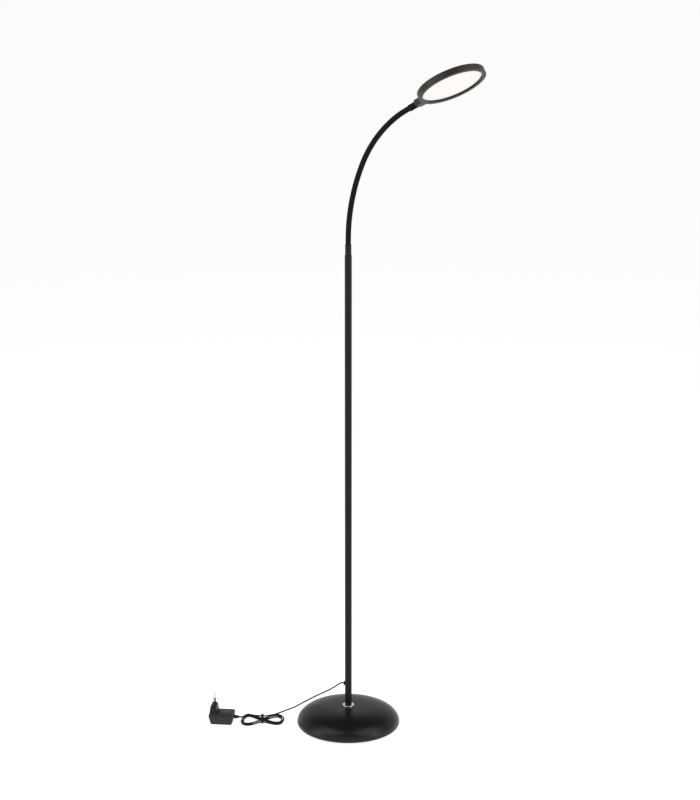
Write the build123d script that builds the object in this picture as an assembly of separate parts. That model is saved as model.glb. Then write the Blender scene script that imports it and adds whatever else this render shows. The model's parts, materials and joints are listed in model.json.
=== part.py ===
from build123d import *

import os
from collections import namedtuple
from math import asin, cos, dist, pi, radians, sin, sqrt, tan

# Task floor lamp: weighted dome base, three-section pole, flexible neck and thin round LED head.
# Millimetres and degrees, +Z up. The origin is the centre of the base's underside, on the floor.
# The neck bends in the XZ plane and carries the head towards +X; the supply cord leaves at -X.

# Clearances
press_gap = 0.05        # radial, between pieces pressed or screwed together
slip_gap = 0.3          # between pieces that only lie beside each other
hinge_gap = 0.4         # between the ball and the cup of two neck links
cut_over = 1.0          # how far a cut runs past the face that it opens

# Base
base_radius = 101.5
base_height = 40.5
base_wall = 1.2
base_roll_radius = 5.5  # the dome's lower edge is rolled under
dome_flatness = 3.36    # powers of the superellipse that the dome follows
dome_shoulder = 1.95
dome_points = 8
seat_radius = 16.0      # flat on top of the dome, under the collar
pad_thickness = 2.0
pad_margin = 3.0        # how far the pad stays inside the rolled edge
pad_chamfer = 0.5
cover_thickness = 1.5
weight_thickness = 12.0
weight_margin = 3.0
weight_low_bevel = 2.0
weight_high_bevel = 3.0
weight_boss_radius = 15.0
weight_boss_foot = 30.0
cover_screw_count = 3
cover_screw_circle = 66.0
cover_screw_radius = 1.5
cover_screw_head_radius = 2.9
cover_screw_length = 9.0

# Bolt that holds the pole on the base
bolt_radius = 4.0
bolt_flats = 13.0
bolt_head_height = 5.3
bolt_pocket_radius = 12.5
bolt_reach = 17.0       # how far the bolt goes into the pole
spring_washer_thickness = 2.0
spring_washer_radius = 7.0
spring_washer_slot = 1.4
spring_washer_slant_angle = 35.0
flat_washer_thickness = 1.6
flat_washer_radius = 11.0
collar_radius = 11.5
collar_thickness = 2.0
collar_bevel = 0.9

# Pole
pole_radius = 6.75
pole_wall = 1.0
section_length = 300.0
section_count = 3
section_chamfer = 0.4
insert_length = 20.0
thread_radius = 4.0
thread_length = 14.0
lead_bore_radius = 2.5

# Outlet of the supply cord
outlet_height = 86.0
outlet_hole_radius = 3.6
grommet_radius = 4.5
grommet_proud = 2.2
grommet_inside = 1.2
grommet_edge = 0.9

# Flexible neck
neck_radius = 5.15
ferrule_radius = 6.0
lower_ferrule_length = 20.0
ferrule_chamfer = 0.5
root_length = 8.0
lower_bend_radius = 375.0
lower_bend_angle = 23.0
upper_bend_radius = 215.0
upper_bend_angle = 37.5
links_per_bend = 6
upper_ferrule_radius = 5.7
upper_ferrule_length = 17.0
spigot_radius = 3.5
spigot_length = 8.0

# Head, in its own frame: +X away from the neck, +Z out of the closed upper side
head_radius = 64.5
head_thickness = 12.3
head_wall = 1.5
head_top = 1.6
head_edge = 2.2
head_roll_angle = 12.7  # turn of the head about the neck's end
lip_inner_radius = 56.9
diffuser_recess = 4.0
bezel_wall = 1.7
bezel_chamfer = 0.6
diffuser_thickness = 1.5
guide_thickness = 2.5
reflector_thickness = 0.3
strip_thickness = 0.4
chip_count = 24
chip_width = 2.8
chip_height = 1.4
chip_depth = 0.8
foam_width = 6.0
foam_margin = 1.0
foam_gap = 5.6          # opening of the foam ring where the lead comes in
lug_face = 75.8         # from the head's centre to the lug's flat end
lug_width = 22.0
lug_corner = 3.0
lug_drop = 0.5          # how much thinner the lug is than the head
lug_edge = 2.2
board_length = 22.0
board_width = 16.0
board_thickness = 1.0
board_offset = 41.0
touch_radius = 7.0
touch_depth = 0.5
grub_radius = 1.5
grub_inset = 4.0        # from the lug's flat end
grub_socket = 1.5
grub_socket_depth = 1.0
head_lead_radius = 0.9
head_lead_straight = 2.0

# Supply cord and its tied hank
cord_diameter = 2.8
hank_spot = (-160.2, -61.5)
hank_angle = 24.3       # direction in which the hank lies
hank_half_length = 38.5
hank_near_lobe = 15.0   # half width of the innermost loop, at the lamp's side
hank_far_lobe = 18.0
hank_waist = 1.7
lobe_roundness = 0.2    # how much the loops draw together along the hank, next to the waist
hank_lean_angle = 10.0  # the lobes' rear halves rise at this slope
loop_pitch = 3.9
layer_pitch = 3.6
points_per_turn = 20
hank_turns = 3.15
hank_entry_angle = 36.0 # direction of the first point, seen from the waist
climb_turns = 0.25      # part of a turn in which the cord climbs to the second layer
exit_climb_turns = 0.12 # and then off the hank, over the waist
exit_climb_share = 0.7  # how much of that climb lies before the waist
least_gap = 0.4
approach_run = 6.0      # straight run just before and just after the hank
tail_end_run = 8.0
tie_thickness = 0.8
tie_width = 4.0
tie_lock_length = 5.0
tie_lock_height = 2.3
tie_lock_place = 0.7    # share of the band's width

# Plug-in supply on the floor
adapter_spot = (-234.0, -94.0)
adapter_angle = 18.3
adapter_length = 50.0
adapter_depth = 34.0
adapter_bottom_length = 42.0
adapter_bottom_depth = 29.0
adapter_top_length = 47.0
adapter_top_depth = 31.5
adapter_lower_height = 17.5
adapter_upper_height = 4.5
adapter_wall = 1.8
adapter_corner = 3.0
adapter_bottom_chamfer = 0.8
plug_base_width = 16.5
plug_base_depth = 30.5
plug_top_width = 11.5
plug_top_depth = 29.0
plug_height = 15.0
plug_corner = 4.0
plug_edge = 1.2
pin_radius = 2.0
pin_core_radius = 1.3
pin_length = 19.0
pin_sleeve_length = 10.0
pin_spacing = 18.6
pin_tip_round = 1.2
pin_root = 8.0
relief_height = 12.5
relief_length = 11.0
relief_neck_radius = 2.7
relief_collar_radius = 4.4
relief_collar_thickness = 1.3
relief_collar_gap = 1.3 # from the sloping wall, so that the collar's upper edge clears it
relief_flange_width = 1.4
relief_flange_thickness = 1.6
relief_flange_back = 2.6 # behind the sloping wall, so that the flange's lower edge clears it
relief_bulge = 1.1      # how far the first bulge stands out from the neck
relief_waist = 0.2      # how far the neck draws in between the bulges
relief_tip = 0.6        # wall round the cord at the outer end
supply_board_height = 7.0
supply_board_thickness = 1.6
supply_board_margin = 2.0
post_radius = 2.0
post_inset = 2.5
transformer_offset = -4.0
core_length = 13.0
core_width = 8.0
winding_length = 8.0
winding_width = 16.0
winding_drop = 1.5      # how much lower the winding is than the core

ALONG_Y = (0, 1, 0)
STAND = (Align.CENTER, Align.CENTER, Align.MIN)

# Levels and places that follow from the driving dimensions
pole_foot = base_height + collar_thickness
pole_top = pole_foot + section_count * section_length
pole_bore = pole_radius - pole_wall
roll_level = pad_thickness + base_roll_radius
cover_top = pad_thickness + cover_thickness
weight_top = cover_top + weight_thickness
bolt_seat = weight_top - flat_washer_thickness
neck_foot = pole_top + lower_ferrule_length
head_low = -head_thickness / 2
head_high = head_thickness / 2
diffuser_level = head_low + diffuser_recess
guide_level = diffuser_level + diffuser_thickness
reflector_level = guide_level + guide_thickness
foam_level = reflector_level + reflector_thickness
ceiling_level = head_high - head_top
spigot_end = lug_face - spigot_length
bezel_radius = head_radius - head_wall - press_gap
stack_radius = bezel_radius - bezel_wall - press_gap
cord_radius = cord_diameter / 2
adapter_height = adapter_lower_height + adapter_upper_height


def rod(radius, low, high):
    """Upright cylinder on the Z axis between two levels"""
    return Pos(0, 0, low) * Cylinder(radius, high - low, align=STAND)


def tube(outer, inner, low, high):
    """Upright tube on the Z axis between two levels"""
    return rod(outer, low, high) - rod(inner, low, high)


def turned(*outline):
    """Solid of revolution about Z from (radius, level) points"""
    return revolve(Plane.XZ * make_face(Polyline(*outline, close=True)), Axis.Z)


def hexagon_bar(flats, low, high):
    """Upright hexagonal bar, by its width across flats"""
    return Pos(0, 0, low) * extrude(RegularPolygon(flats / 2, 6, major_radius=False), high - low)


def rounded_route(points):
    """Straight runs joined by tangent arcs, each as large as its two runs allow"""
    radii = []
    for before, here, after in zip(points, points[1:], points[2:]):
        run_in = here - before
        run_out = after - here
        half_turn = radians(run_in.get_angle(run_out)) / 2
        radii.append(0.45 * min(run_in.length, run_out.length) / tan(half_turn))
    return FilletPolyline(*points, radius=radii), radii


def cord_tube(name, points, diameter):
    """Round cord along a route; prints its bends and how true its volume is"""
    route, radii = rounded_route(points)
    section = Plane(origin=route @ 0, z_dir=route % 0) * Circle(diameter / 2)
    solid = sweep(section, path=route)
    expected = pi * diameter**2 / 4 * route.length
    print(f"{name}: length {route.length:.1f}, tightest bend {min(radii):.1f}, "
          f"volume over section times length {solid.volume / expected:.4f}")
    return solid, route


# Base

def dome_curve(radius, top):
    """Superellipse from the flat seat on top of the dome to its widest edge"""
    first = asin((seat_radius / radius) ** (dome_flatness / 2))
    points = [(seat_radius, top)]
    for i in range(1, dome_points + 1):
        angle = first + (pi / 2 - first) * i / dome_points
        r = radius * sin(angle) ** (2 / dome_flatness)
        z = roll_level + (top - roll_level) * max(cos(angle), 0) ** (2 / dome_shoulder)
        points.append((r, z))
    return Spline(*points, tangents=[(1, 0), (0, -1)])


def base_shell():
    inner_radius = base_radius - base_wall
    inner_top = base_height - base_wall
    rim = base_radius - base_roll_radius
    inner_roll = base_roll_radius - base_wall
    outline = [
        Polyline((seat_radius, base_height), (0, base_height), (0, inner_top), (seat_radius, inner_top)),
        dome_curve(base_radius, base_height),
        dome_curve(inner_radius, inner_top),
        RadiusArc((base_radius, roll_level), (rim, pad_thickness), base_roll_radius),
        Line((rim, pad_thickness), (rim, pad_thickness + base_wall)),
        RadiusArc((inner_radius, roll_level), (rim, roll_level - inner_roll), inner_roll),
    ]
    shell = revolve(Plane.XZ * make_face(outline), Axis.Z)
    return shell - rod(bolt_radius + slip_gap, 0, base_height + cut_over)


def cover_screw_spots():
    return PolarLocations(cover_screw_circle, cover_screw_count)


def base_weight():
    weight_radius = base_radius - base_roll_radius - weight_margin
    shell_seat = base_height - base_wall
    body = turned(
        (0, cover_top), (weight_radius - weight_low_bevel, cover_top),
        (weight_radius, cover_top + weight_low_bevel),
        (weight_radius, weight_top - weight_high_bevel),
        (weight_radius - weight_high_bevel, weight_top),
        (weight_boss_foot, weight_top), (weight_boss_radius, shell_seat), (0, shell_seat),
    )
    body -= rod(bolt_radius + slip_gap, cover_top, shell_seat)
    body -= rod(bolt_pocket_radius, cover_top, weight_top)
    for spot in cover_screw_spots():
        hole_top = pad_thickness + cover_screw_length + slip_gap
        body -= spot * rod(cover_screw_radius + press_gap, cover_top, hole_top)
    return body


def screw_head(radius):
    """Countersunk head, flush with the cover's underside"""
    head_top = pad_thickness + cover_screw_head_radius - cover_screw_radius
    return turned((0, pad_thickness), (radius, pad_thickness),
                  (radius - cover_screw_head_radius + cover_screw_radius, head_top), (0, head_top))


def base_cover():
    cover = rod(base_radius - base_roll_radius - slip_gap, pad_thickness, cover_top)
    for spot in cover_screw_spots():
        cover -= spot * rod(cover_screw_radius + slip_gap, pad_thickness, cover_top)
        cover -= spot * screw_head(cover_screw_head_radius + press_gap)
    return cover


def base_cover_screws():
    screw = rod(cover_screw_radius, pad_thickness, pad_thickness + cover_screw_length)
    screw += screw_head(cover_screw_head_radius)
    return Compound(children=[spot * screw for spot in cover_screw_spots()])


def base_pad():
    pad = rod(base_radius - base_roll_radius - pad_margin, 0, pad_thickness)
    return chamfer(pad.edges().group_by(Axis.Z)[0], pad_chamfer)


def spring_washer():
    low = bolt_seat - spring_washer_thickness
    ring = tube(spring_washer_radius, bolt_radius + slip_gap, low, bolt_seat)
    slot = Box(spring_washer_radius, spring_washer_slot, spring_washer_thickness)
    middle = Pos(spring_washer_radius / 2, 0, (low + bolt_seat) / 2)
    return ring - middle * Rot(X=spring_washer_slant_angle) * slot


def base_bolt():
    head_top = bolt_seat - spring_washer_thickness
    head = hexagon_bar(bolt_flats, head_top - bolt_head_height, head_top)
    return head + rod(bolt_radius, head_top - bolt_head_height, pole_foot + bolt_reach)


def foot_collar():
    """Bright ring between the dome and the pole, with a bevelled upper edge"""
    ring = tube(collar_radius, bolt_radius + slip_gap, base_height, pole_foot)
    rim = ring.edges().group_by(Axis.Z)[-1].sort_by(SortBy.RADIUS)[-1]
    return chamfer(rim, collar_bevel)


# Pole

def pole_section(index):
    low = pole_foot + index * section_length
    section = tube(pole_radius, pole_bore, low, low + section_length)
    rims = section.edges().filter_by(GeomType.CIRCLE).group_by(SortBy.RADIUS)[-1]
    return chamfer(rims, section_chamfer)


def outlet_cylinder(radius, start, end):
    """Cylinder along -X at the outlet, between two distances from the pole's axis"""
    place = Plane(origin=(-start, 0, outlet_height), z_dir=(-1, 0, 0))
    return place * Cylinder(radius, end - start, align=STAND)


def pole_lower():
    return pole_section(0) - outlet_cylinder(outlet_hole_radius, 0, pole_radius + cut_over)


def pole_foot_insert():
    high = pole_foot + insert_length
    return tube(pole_bore - press_gap, bolt_radius + press_gap, pole_foot, high)


def joint_stud(index):
    """Hollow threaded stud pressed into the top of a section"""
    seam = pole_foot + index * section_length
    stud = tube(pole_bore - press_gap, lead_bore_radius, seam - insert_length, seam)
    return stud + tube(thread_radius, lead_bore_radius, seam, seam + thread_length)


def joint_socket(low, high):
    """Threaded ring pressed into the end of a section"""
    return tube(pole_bore - press_gap, thread_radius + press_gap, low, high)


def cord_grommet():
    face = pole_radius + grommet_proud
    flange = outlet_cylinder(grommet_radius, 0, face)
    flange = fillet(flange.edges().group_by(Axis.X)[0], grommet_edge)
    reach = grommet_radius + cut_over
    flange -= rod(pole_radius + press_gap, outlet_height - reach, outlet_height + reach)
    body_end = face - grommet_edge
    body = outlet_cylinder(outlet_hole_radius - press_gap, pole_bore - grommet_inside, body_end)
    return flange + body - outlet_cylinder(cord_radius + press_gap, 0, face + cut_over)


def inner_lead():
    """Supply lead from the outlet up through the pole to the neck"""
    turn = pole_bore - cord_radius
    points = [Vector(-pole_radius - grommet_proud, 0, outlet_height), Vector(0, 0, outlet_height),
              Vector(0, 0, neck_foot)]
    route = FilletPolyline(*points, radius=turn)
    section = Plane(origin=route @ 0, z_dir=route % 0) * Circle(cord_radius)
    return sweep(section, path=route)


# Flexible neck

Station = namedtuple("Station", "point tangent normal heading")


def station(x, z, heading):
    """Point on the neck's line with its direction and the side that it bends to"""
    angle = radians(heading)
    return Station(Vector(x, 0, z), Vector(sin(angle), 0, cos(angle)),
                   Vector(cos(angle), 0, -sin(angle)), heading)


def neck_links():
    """Start, end, bend radius and bend angle of each link"""
    links = []
    here = station(0, neck_foot + root_length, 0)
    for radius, bend in ((lower_bend_radius, lower_bend_angle), (upper_bend_radius, upper_bend_angle)):
        step = bend / links_per_bend
        for _ in range(links_per_bend):
            heading = here.heading + step
            turned_normal = station(0, 0, heading).normal
            point = here.point + (here.normal - turned_normal) * radius
            there = station(point.X, point.Z, heading)
            links.append((here, there, radius, step))
            here = there
    return links


def neck_plane(place):
    return Plane(origin=place.point, x_dir=ALONG_Y, z_dir=place.tangent)


def neck_ball(place):
    """Half ball on the end of a link, centred on the next hinge"""
    return neck_plane(place) * Sphere(neck_radius, arc_size1=0, arc_size2=90, align=STAND)


def neck_root(first):
    return rod(neck_radius, neck_foot, first.point.Z) + neck_ball(first)


def neck_link(start, end, radius, step, has_ball):
    section = neck_plane(start) * Circle(neck_radius)
    axis = Axis(start.point + start.normal * radius, ALONG_Y)
    link = revolve(section, axis, step)
    if has_ball:
        link += neck_ball(end)
    return link - Pos(start.point) * Sphere(neck_radius + hinge_gap)


def lower_ferrule():
    outer = rod(ferrule_radius, pole_top, neck_foot)
    outer = chamfer(outer.edges().filter_by(GeomType.CIRCLE), ferrule_chamfer)
    thread = rod(thread_radius, pole_top - thread_length, pole_top)
    return outer + thread - rod(lead_bore_radius, pole_top - thread_length, neck_foot)


def upper_ferrule(end):
    outer = rod(upper_ferrule_radius, 0, upper_ferrule_length)
    outer = chamfer(outer.edges().filter_by(GeomType.CIRCLE), ferrule_chamfer)
    spigot = rod(spigot_radius, upper_ferrule_length, upper_ferrule_length + spigot_length)
    return neck_plane(end) * (outer + spigot)


# Head

def head_plane(end):
    """Frame of the head, beyond the neck's end and rolled about it"""
    centre = end.point + end.tangent * (upper_ferrule_length + lug_face)
    roll = radians(head_roll_angle)
    upward = end.normal * -cos(roll) + Vector(0, 1, 0) * sin(roll)
    return Plane(origin=centre, x_dir=end.tangent, z_dir=upward)


def along_head(radius, start, end):
    """Cylinder along the head's X axis between two places"""
    return Pos(start, 0, 0) * Rot(Y=90) * Cylinder(radius, end - start, align=STAND)


def head_lug():
    """Block with a flat end that the neck's end is fixed in"""
    inner_end = head_radius - head_wall
    plan = Pos(-(lug_face + inner_end) / 2, 0) * Rectangle(lug_face - inner_end, lug_width)
    lug = Pos(0, 0, head_low + lug_drop / 2) * extrude(plan, head_thickness - lug_drop)
    corners = lug.edges().filter_by(Axis.Z).group_by(Axis.X)[0]
    lug = fillet(corners, lug_corner)
    rims = lug.edges().group_by(Axis.Z)
    return fillet(rims[0] + rims[-1], lug_edge)


def head_housing():
    disc = rod(head_radius, head_low, head_high)
    disc = fillet(disc.edges().group_by(Axis.Z)[-1], head_edge)
    body = disc + head_lug()
    body -= rod(head_radius - head_wall, head_low, ceiling_level)
    body -= along_head(spigot_radius + press_gap, -lug_face - cut_over, -spigot_end)
    body -= lead_channel()
    body -= Pos(grub_inset - lug_face, 0, 0) * rod(grub_radius + press_gap, 0, head_high)
    dish_radius = (touch_radius**2 + touch_depth**2) / (2 * touch_depth)
    dish_level = head_high + dish_radius - touch_depth
    return body - Pos(-board_offset, 0, dish_level) * Sphere(dish_radius)


def lead_path_level():
    return ceiling_level - head_lead_radius - slip_gap / 2


def lead_channel():
    """Way for the lead from the neck's spigot over the bezel into the housing"""
    inner_end = head_radius - head_wall - cut_over
    side = head_lead_radius + slip_gap
    channel = Box(spigot_end - inner_end, 2 * side, ceiling_level + side)
    return Pos(-(spigot_end + inner_end) / 2, 0, (ceiling_level - side) / 2) * channel


def head_lead():
    """Lead from the neck's spigot to the control board"""
    rise_end = head_radius - head_wall / 2
    board_edge = board_offset + board_length / 2
    level = lead_path_level()
    points = [Vector(-spigot_end, 0, 0), Vector(-spigot_end + head_lead_straight, 0, 0),
              Vector(-rise_end, 0, level), Vector(-board_edge, 0, level)]
    route, _ = rounded_route(points)
    section = Plane(origin=route @ 0, z_dir=route % 0) * Circle(head_lead_radius)
    return sweep(section, path=route)


def head_bezel():
    """Ring that closes the open side and carries the diffuser on its lip"""
    bezel_top = foam_level
    inside = bezel_radius - bezel_wall
    return turned(
        (lip_inner_radius, head_low + bezel_chamfer), (lip_inner_radius + bezel_chamfer, head_low),
        (bezel_radius, head_low), (bezel_radius, bezel_top), (inside, bezel_top),
        (inside, diffuser_level), (lip_inner_radius, diffuser_level),
    )


def chip_face_radius():
    """Radius at which the backs of the flat chips clear the round strip"""
    strip_inner = stack_radius - strip_thickness
    return sqrt(strip_inner**2 - (chip_width / 2) ** 2)


def led_chips():
    middle = chip_face_radius() - chip_depth / 2
    level = (guide_level + reflector_level) / 2
    chip = Pos(0, 0, level) * Box(chip_depth, chip_width, chip_height)
    return Compound(children=[spot * chip for spot in PolarLocations(middle, chip_count)])


def light_guide():
    radius = chip_face_radius() - chip_depth - slip_gap
    return rod(radius, guide_level, reflector_level)


def backing_foam():
    """Foam ring that presses the light stack down, open where the lead comes in"""
    outer = stack_radius - foam_margin
    ring = tube(outer, outer - foam_width, foam_level, ceiling_level)
    gap = Box(2 * (foam_width + cut_over), foam_gap, head_thickness)
    return ring - Pos(-outer, 0, 0) * gap


def control_board():
    level = ceiling_level - board_thickness / 2
    return Pos(-board_offset, 0, level) * Box(board_length, board_width, board_thickness)


def neck_grub_screw():
    low = spigot_radius + press_gap
    high = head_high - lug_drop
    screw = rod(grub_radius, low, high) - hexagon_bar(grub_socket, high - grub_socket_depth, high)
    return Pos(grub_inset - lug_face, 0, 0) * screw


# Supply cord

def hank_loop(angle):
    """Innermost loop of the hank in plan: two lobes with a waist between them"""
    lobe = hank_near_lobe if cos(angle) > 0 else hank_far_lobe
    widest = 2 / sqrt(27)   # largest value of sin times cos squared
    swell = (lobe - hank_waist) / widest
    along = hank_half_length * cos(angle) * (1 - lobe_roundness * sin(angle) ** 2)
    return along, sin(angle) * (hank_waist + swell * cos(angle) ** 2)


def hank_point(turns):
    """Centreline of the hank so many turns from its start, in the hank's own frame"""
    inward = (hank_turns - climb_turns) / 2
    angle = radians(hank_entry_angle) + 2 * pi * turns
    step = 0.001
    x, y = hank_loop(angle)
    ahead = hank_loop(angle + step)
    behind = hank_loop(angle - step)
    along = Vector(ahead[0] - behind[0], ahead[1] - behind[1], 0).normalized()
    outward = loop_pitch * max(inward - turns, turns - inward - climb_turns, 0)
    layer = min(max((turns - inward) / climb_turns, 0), 1)
    layer += max((turns - hank_turns) / exit_climb_turns + exit_climb_share, 0)
    lift = (tie_thickness + slip_gap) * sin(angle) ** 2
    place = Vector(x + outward * along.Y, y - outward * along.X, 0)
    lean = tan(radians(hank_lean_angle)) * max(place.Y, 0)
    return place + Vector(0, 0, cord_radius + lift + layer_pitch * layer + lean)


def hank_place():
    return Pos(hank_spot[0], hank_spot[1], 0) * Rot(Z=hank_angle)


def placed(place, point):
    """A point moved with a placement"""
    return (place * Pos(point)).position


def hank_loops():
    """The hank's line in its own frame, with a straight run of one diameter at each end"""
    count = round(hank_turns * points_per_turn)
    loops = [hank_point(i / points_per_turn) for i in range(count + 1)]
    entry = loops[0] + (loops[0] - loops[1]).normalized() * cord_diameter
    leave = loops[-1] + (loops[-1] - loops[-2]).normalized() * cord_diameter
    return [entry] + loops[1:-1] + [leave]


def adapter_place():
    return Pos(adapter_spot[0], adapter_spot[1], 0) * Rot(Z=adapter_angle)


def relief_face():
    """Middle of the strain relief's outer end"""
    return Vector(relief_wall() + relief_length, 0, relief_height)


def cord_free_points(hank_start, hank_second):
    """From the outlet, over the edge of the base and down to the hank"""
    chosen = [(-pole_radius - grommet_proud, 0, outlet_height), (-13.2, 0, outlet_height),
              (-17.6, 0, 84.2), (-23.5, -0.1, 79.6), (-32.0, -0.2, 72.4), (-48.0, -1.0, 61.9),
              (-68.0, -2.8, 50.2), (-88.0, -7.0, 37.8), (-103.0, -12.0, 27.2), (-115.0, -17.2, 19.0),
              (-125.0, -21.0, 12.0)]
    approach = (hank_start - hank_second).normalized() * approach_run
    return [Vector(p) for p in chosen] + [hank_start + approach, hank_start]


def cord_tail_points(hank_end, hank_before):
    """From the hank's last crossing of the waist, over its far lobe, to the adapter"""
    chosen = [(-17.0, 2.2, 13.6), (-27.5, -1.5, 13.8)]
    away = hank_end + (hank_end - hank_before).normalized() * approach_run
    relief = placed(adapter_place(), relief_face())
    square = placed(adapter_place(), relief_face() + Vector(tail_end_run, 0, 0))
    return [hank_end, away] + [placed(hank_place(), Vector(p)) for p in chosen] + [square, relief]


def self_gap(routes, diameter):
    """Least free space between turns of a cord, measured on points along its line"""
    spacing = diameter / 4
    points = []
    for route in routes:
        count = int(route.length / spacing)
        points += [tuple(route @ (i / count)) for i in range(count)]
    skip = int(5 * diameter / spacing)
    least = min(dist(a, b) for i, a in enumerate(points) for b in points[i + skip:])
    return least - diameter


def cord_tie():
    """Flat band round the hank's waist, with its lock on top"""
    fine = 4 * points_per_turn
    crossings = [hank_point(i / fine) for i in range(int(hank_turns * fine) + 1)] + hank_loops()[-1:]
    at_waist = [p for p in crossings if abs(p.X) < tie_width]
    margin = cord_radius + slip_gap
    low_y = min(p.Y for p in at_waist) - margin
    high_y = max(p.Y for p in at_waist) + margin
    high_z = max(p.Z for p in at_waist) + margin
    width = high_y - low_y
    height = high_z - tie_thickness
    middle = (0, (low_y + high_y) / 2, tie_thickness + height / 2)
    frame = Plane(origin=middle, x_dir=ALONG_Y, z_dir=(1, 0, 0))
    outer_size = inset((width, height), -tie_thickness)
    outer = RectangleRounded(*outer_size, margin + tie_thickness)
    band = extrude(frame * (outer - RectangleRounded(width, height, margin)), tie_width / 2, both=True)
    lock = Box(tie_lock_length, tie_lock_length, tie_lock_height, align=STAND)
    return hank_place() * (band + Pos(0, low_y + width * tie_lock_place, high_z) * lock)


# Plug-in supply

def tapered_block(low_size, high_size, low, high, corner):
    """Block with rounded upright edges that changes size between two levels"""
    lower = Pos(0, 0, low) * RectangleRounded(*low_size, corner)
    upper = Pos(0, 0, high) * RectangleRounded(*high_size, corner)
    return loft([lower, upper])


def inset(size, wall):
    return (size[0] - 2 * wall, size[1] - 2 * wall)


parting_size = (adapter_length, adapter_depth)
bottom_size = (adapter_bottom_length, adapter_bottom_depth)
top_size = (adapter_top_length, adapter_top_depth)


def relief_wall():
    """Distance of the sloping end wall from the adapter's middle, at the strain relief"""
    share = relief_height / adapter_lower_height
    return (adapter_bottom_length + (adapter_length - adapter_bottom_length) * share) / 2


def supply_board_size():
    return inset(bottom_size, adapter_wall + supply_board_margin)


def adapter_lower_case():
    case = tapered_block(bottom_size, parting_size, 0, adapter_lower_height, adapter_corner)
    case -= tapered_block(inset(bottom_size, adapter_wall), inset(parting_size, adapter_wall),
                          adapter_wall, adapter_lower_height, adapter_corner - adapter_wall / 2)
    post_grid = inset(supply_board_size(), post_inset)
    for spot in GridLocations(*post_grid, 2, 2):
        case += spot * rod(post_radius, adapter_wall / 2, supply_board_height)
    hole = Pos(0, 0, relief_height) * along_head(relief_neck_radius + press_gap, 0, adapter_length)
    rim = case.faces().sort_by(Axis.Z)[0].edges()
    return chamfer(rim, adapter_bottom_chamfer) - hole


def plug_block_offset():
    return -(adapter_top_length - plug_base_width) / 2


def adapter_upper_case():
    """Lid with the plug's body standing on one end"""
    lid = tapered_block(parting_size, top_size, adapter_lower_height, adapter_height, adapter_corner)
    room_top = adapter_height - adapter_wall
    lid -= tapered_block(inset(parting_size, adapter_wall), inset(top_size, adapter_wall),
                         adapter_lower_height, room_top, adapter_corner - adapter_wall / 2)
    plug_base = (plug_base_width, plug_base_depth)
    plug_top = (plug_top_width, plug_top_depth)
    plug = tapered_block(plug_base, plug_top, adapter_height, adapter_height + plug_height, plug_corner)
    plug = fillet(plug.faces().sort_by(Axis.Z)[-1].edges(), plug_edge)
    lid += Pos(plug_block_offset(), 0, 0) * plug
    pin_base = adapter_height + plug_height
    for spot in pin_spots():
        lid -= spot * rod(pin_core_radius + press_gap, pin_base - pin_root, pin_base)
    return lid


def pin_spots():
    return [Pos(plug_block_offset(), side * pin_spacing / 2, 0) for side in (-1, 1)]


def plug_pins():
    base = adapter_height + plug_height
    tip = rod(pin_radius, base + pin_sleeve_length, base + pin_length)
    tip = fillet(tip.edges().group_by(Axis.Z)[-1], pin_tip_round)
    pin = tip + rod(pin_core_radius, base - pin_root, base + pin_sleeve_length)
    return Compound(children=[spot * pin for spot in pin_spots()])


def pin_sleeves():
    base = adapter_height + plug_height
    sleeve = tube(pin_radius - press_gap, pin_core_radius + press_gap, base, base + pin_sleeve_length)
    return Compound(children=[spot * sleeve for spot in pin_spots()])


def adapter_strain_relief():
    """Moulded grip with a collar and two bulges, held behind the case's end wall"""
    wall = relief_wall()
    end = wall + relief_length
    neck = relief_neck_radius
    flange = neck + relief_flange_width
    shoulder = wall - adapter_wall - relief_flange_back
    back = shoulder - relief_flange_thickness
    collar = relief_collar_radius
    collar_start = wall + relief_collar_gap
    collar_end = collar_start + relief_collar_thickness
    first_end = (collar_end + end) / 2
    foot = (neck, collar_end)
    first_bulge = (neck + relief_bulge, (collar_end + first_end) / 2)
    waist = (neck - relief_waist, first_end)
    tip = (cord_radius + relief_tip, end)
    second_bulge = ((waist[0] + tip[0]) / 2 + relief_bulge / 2, (first_end + end) / 2)
    outline = [
        Polyline((0, back), (flange, back), (flange, shoulder), (neck, shoulder),
                 (neck, collar_start), (collar, collar_start), (collar, collar_end), foot),
        ThreePointArc(foot, first_bulge, waist),
        ThreePointArc(waist, second_bulge, tip),
        Polyline(tip, (0, end), (0, back)),
    ]
    grip = revolve(Plane.XZ * make_face(outline), Axis.Z)
    return Pos(0, 0, relief_height) * Rot(Y=90) * grip


def adapter_board():
    level = supply_board_height + supply_board_thickness / 2
    return Pos(0, 0, level) * Box(*supply_board_size(), supply_board_thickness)


def adapter_transformer():
    low = supply_board_height + supply_board_thickness
    room = adapter_height - adapter_wall - slip_gap - low
    core = Box(core_length, core_width, room, align=STAND)
    winding = Box(winding_length, winding_width, room - winding_drop, align=STAND)
    return Pos(transformer_offset, 0, low) * (core + winding)


def stand_nodes():
    nodes = {
        "base_shell": base_shell(),
        "base_weight": base_weight(),
        "base_cover": base_cover(),
        "base_cover_screws": base_cover_screws(),
        "base_pad": base_pad(),
        "base_bolt": base_bolt(),
        "bolt_spring_washer": spring_washer(),
        "bolt_flat_washer": tube(flat_washer_radius, bolt_radius + slip_gap, bolt_seat, weight_top),
        "foot_collar": foot_collar(),
        "pole_lower": pole_lower(),
        "pole_middle": pole_section(1),
        "pole_upper": pole_section(2),
        "pole_foot_insert": pole_foot_insert(),
        "pole_top_insert": joint_socket(pole_top - insert_length, pole_top),
        "cord_grommet": cord_grommet(),
        "inner_lead": inner_lead(),
    }
    for index, name in ((1, "lower"), (2, "upper")):
        seam = pole_foot + index * section_length
        nodes[f"pole_stud_{name}"] = joint_stud(index)
        nodes[f"pole_socket_{name}"] = joint_socket(seam, seam + insert_length)
    return nodes


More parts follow.
